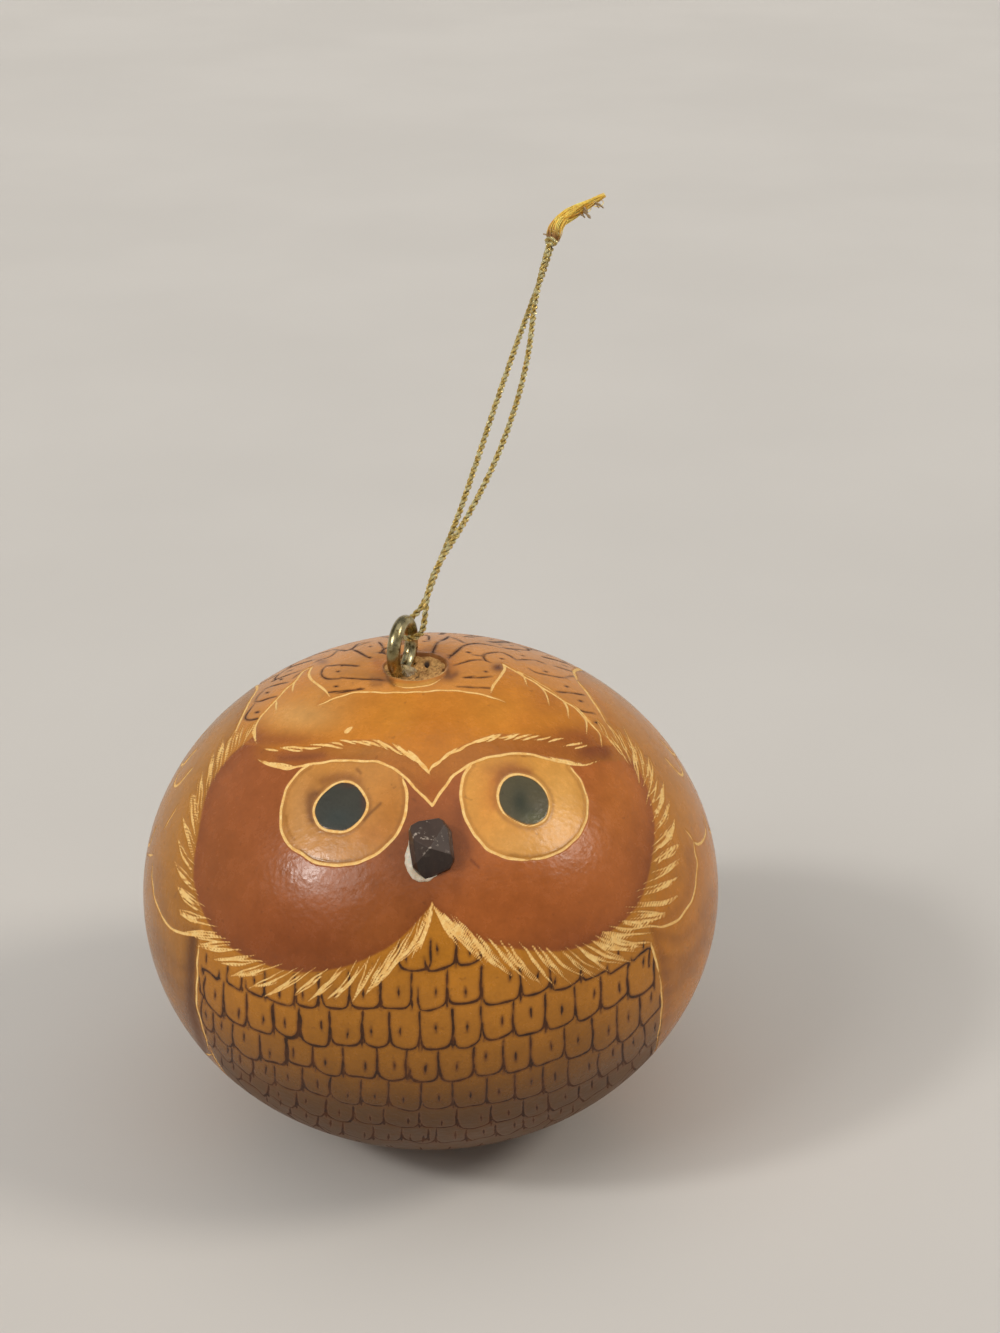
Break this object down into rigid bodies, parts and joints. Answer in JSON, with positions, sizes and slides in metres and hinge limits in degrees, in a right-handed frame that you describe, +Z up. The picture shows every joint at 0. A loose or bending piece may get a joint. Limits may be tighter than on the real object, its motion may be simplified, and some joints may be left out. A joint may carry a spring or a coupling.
{
  "type": "carved gourd ornament",
  "caption": "Hollow dried gourd carved as an owl, with a glued faceted beak, a screw eye in the stem scar and a metallic cord loop to hang it by.",
  "frame": {"origin": "centre of the flat underside that the gourd stands on", "axes": "+Z up, the carved owl's face looks along -Y, +X is to the right as seen from the front"},
  "size_m": [0.075, 0.0901, 0.111],
  "materials": {
    "gourd_skin": "satin varnish over carved, dyed and scorched skin",
    "stem_pith": "rough, fibrous",
    "clear_glue": "glossy",
    "gold_wire": "polished, a little tarnished",
    "beak_wood": "dark stain, low sheen",
    "white_glue": "dull",
    "gold_cord": "metallic thread",
    "yellow_fray": "frayed thread",
    "seed_husk": "dry"
  },
  "bodies": {
    "gourd": {"gourd_shell": "gourd_skin", "stem_core": "stem_pith", "eye_glue": "clear_glue", "screw_eye": "gold_wire", "beak": "beak_wood", "beak_glue": "white_glue", "seeds": "seed_husk"},
    "loop": {"hanging_cord": "gold_cord", "cord_knot": "gold_cord", "cord_tails": "yellow_fray"}
  },
  "joints": [
    {"name": "loop_swing", "type": "hinge", "parent": "gourd", "child": "loop", "pos_m": [-0.0032, 0, 0.0653], "axis": [0.9397, -0.342, 0], "range_deg": [-34, 152]}
  ]
}
